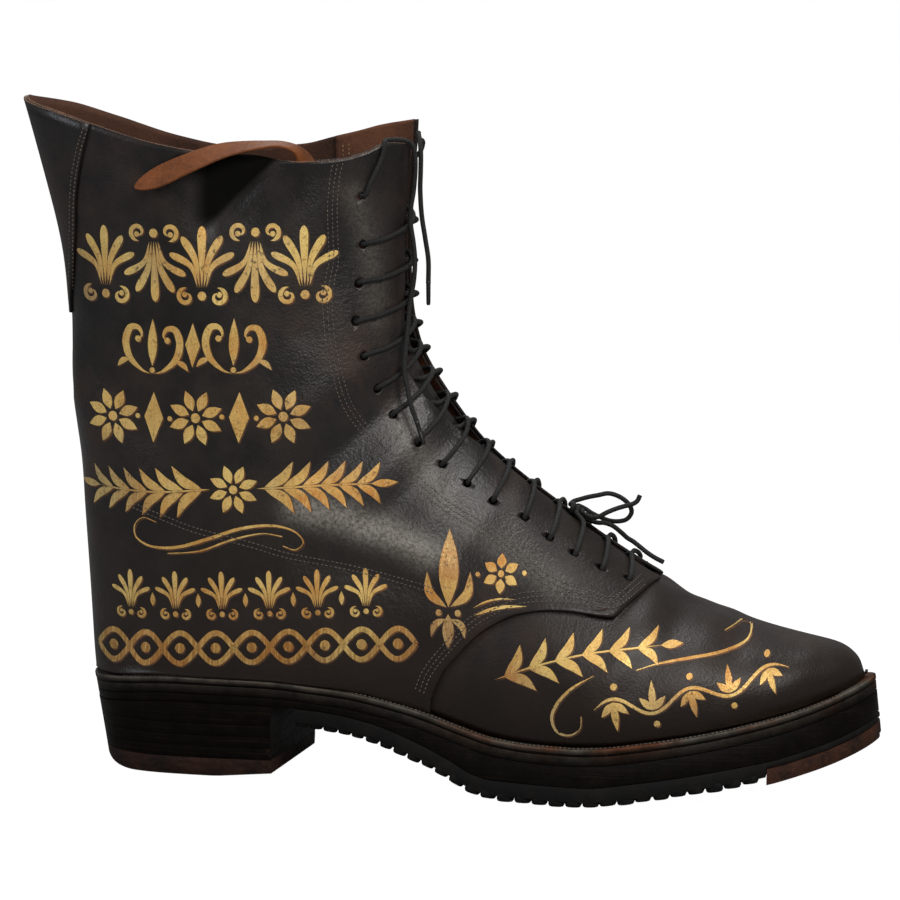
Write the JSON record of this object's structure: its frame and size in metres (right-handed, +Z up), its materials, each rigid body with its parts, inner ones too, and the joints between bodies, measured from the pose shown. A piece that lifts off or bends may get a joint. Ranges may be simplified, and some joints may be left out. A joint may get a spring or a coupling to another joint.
{
  "type": "giant boot trade sign",
  "caption": "Oversized lace-up leather ankle boot made as a shop's display sign, with a lugged sole, a stacked heel, an iron toe plate and a leather pull strap.",
  "frame": {"origin": "middle of the flat face under the heel, on the ground", "axes": "+X towards the toe, +Z up, -Y to the wearer's right, the outer side of this right boot"},
  "size_m": [0.8333, 0.2771, 0.6358],
  "materials": {
    "black_leather": "worn, semi-gloss",
    "brown_leather": "dry flesh side",
    "strap_leather": "worn, satin",
    "sole_leather": "waxed edge",
    "filler": "raw",
    "worn_sole_leather": "worn through to brown",
    "tread_rubber": "matte",
    "rusty_iron": "rusty",
    "shank_steel": "plain",
    "lace": "waxed round cord",
    "lace_tip": "shrunk tip"
  },
  "bodies": {
    "boot": {"aglet_front": "lace_tip", "aglet_side": "lace_tip", "backstay": "black_leather", "bow_end_high": "lace", "bow_end_low": "lace", "bow_knot": "lace", "bow_loop": "lace", "forepart_filler": "filler", "hanging_end_front": "lace", "hanging_end_side": "lace", "heel_counter": "brown_leather", "heel_filler": "filler", "heel_lift_lower": "sole_leather", "heel_lift_middle": "sole_leather", "heel_lift_upper": "sole_leather", "heel_seat_lift": "sole_leather", "heel_top_piece": "worn_sole_leather", "inner_facing": "brown_leather", "inner_quarter": "black_leather", "insole": "brown_leather", "lower_lace": "lace", "lugged_tread": "tread_rubber", "midsole": "sole_leather", "outer_facing": "brown_leather", "outer_quarter": "black_leather", "outsole": "sole_leather", "shank": "shank_steel", "toe_plate": "rusty_iron", "toe_puff": "brown_leather", "tongue": "black_leather", "upper_lace": "lace", "vamp": "black_leather", "welt": "sole_leather"},
    "strap": {"pull_strap": "strap_leather"}
  },
  "joints": [
    {"name": "pull_strap_hinge", "type": "hinge", "parent": "boot", "child": "strap", "pos_m": [0.106, -0.069, 0.55], "axis": [0, 1, 0], "range_deg": [0, 20]}
  ]
}
